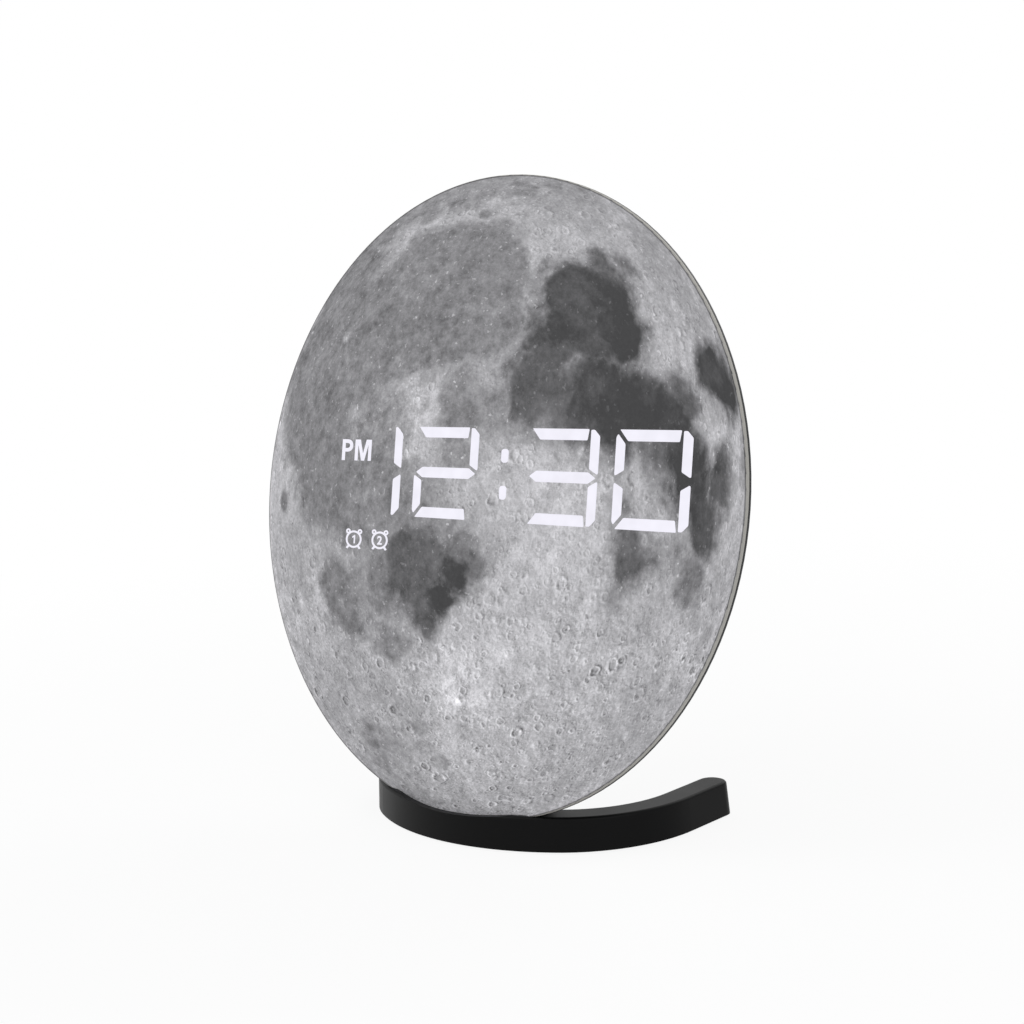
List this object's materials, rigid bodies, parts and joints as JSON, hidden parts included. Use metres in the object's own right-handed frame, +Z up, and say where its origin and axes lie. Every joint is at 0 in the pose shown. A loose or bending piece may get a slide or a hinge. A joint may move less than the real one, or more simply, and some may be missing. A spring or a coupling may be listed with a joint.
{
  "type": "digital desk clock",
  "caption": "Round desk clock with a printed full-moon face, lit digits behind it, push buttons and a turning battery door at the back, tilted on a curved stand with a short neck.",
  "frame": {"origin": "on the surface the clock stands on, under the middle of the stand's front bar", "axes": "+X to the right of someone reading the clock, +Y away from them, +Z up"},
  "size_m": [0.16, 0.0572, 0.1624],
  "materials": {
    "faceplate_plastic": "thin satin plastic with a printed full moon",
    "black_plastic": "fine-textured black moulding",
    "white_plastic": "plain white moulding",
    "diffuser_plastic": "milky translucent",
    "circuit_board": "green solder mask",
    "bright_metal": "bright",
    "black_metal": "black-coated steel",
    "satin_black": "satin black",
    "black_rubber": "matt black"
  },
  "bodies": {
    "clock": {"moon_faceplate": "faceplate_plastic", "faceplate_tape": "black_plastic", "mid_frame": "black_plastic", "light_mask": "black_plastic", "display_reflector": "white_plastic", "lit_segments": "diffuser_plastic", "dark_segments": "diffuser_plastic", "main_board": "circuit_board", "segment_leds": "white_plastic", "controller_chips": "black_plastic", "clock_crystal": "bright_metal", "button_switches": "black_plastic", "sounder": "black_plastic", "power_socket": "bright_metal", "board_screws": "bright_metal", "rear_cover": "black_plastic", "cover_screws": "black_metal", "coin_cell": "bright_metal", "cell_holder": "black_plastic", "cell_contact": "bright_metal", "stand_neck": "black_plastic", "neck_screws": "black_metal", "base_bar": "satin_black", "base_weights": "bright_metal", "base_cover": "black_plastic", "base_cover_screws": "black_metal", "stand_screws": "black_metal", "rubber_feet": "black_rubber"},
    "mode button": {"mode_button": "black_plastic"},
    "alarm button": {"alarm_button": "black_plastic"},
    "up button": {"up_button": "black_plastic"},
    "down button": {"down_button": "black_plastic"},
    "light button": {"light_button": "black_plastic"},
    "battery door": {"battery_door": "black_plastic"}
  },
  "joints": [
    {"name": "mode_button_press", "type": "slide", "parent": "clock", "child": "mode button", "axis": [0, -0.9833, 0.1822], "range_m": [0, 0.0007], "stiffness_N_per_m": 1200},
    {"name": "alarm_button_press", "type": "slide", "parent": "clock", "child": "alarm button", "axis": [0, -0.9833, 0.1822], "range_m": [0, 0.0007], "stiffness_N_per_m": 1200},
    {"name": "up_button_press", "type": "slide", "parent": "clock", "child": "up button", "axis": [0, -0.9833, 0.1822], "range_m": [0, 0.0007], "stiffness_N_per_m": 1200},
    {"name": "down_button_press", "type": "slide", "parent": "clock", "child": "down button", "axis": [0, -0.9833, 0.1822], "range_m": [0, 0.0007], "stiffness_N_per_m": 1200},
    {"name": "light_button_press", "type": "slide", "parent": "clock", "child": "light button", "axis": [0, -0.9833, 0.1822], "range_m": [0, 0.0007], "stiffness_N_per_m": 1200},
    {"name": "battery_door_turn", "type": "hinge", "parent": "clock", "child": "battery door", "pos_m": [0, 0.03808, 0.12546], "axis": [0, 0.9833, -0.1822], "range_deg": [0, 70]}
  ]
}
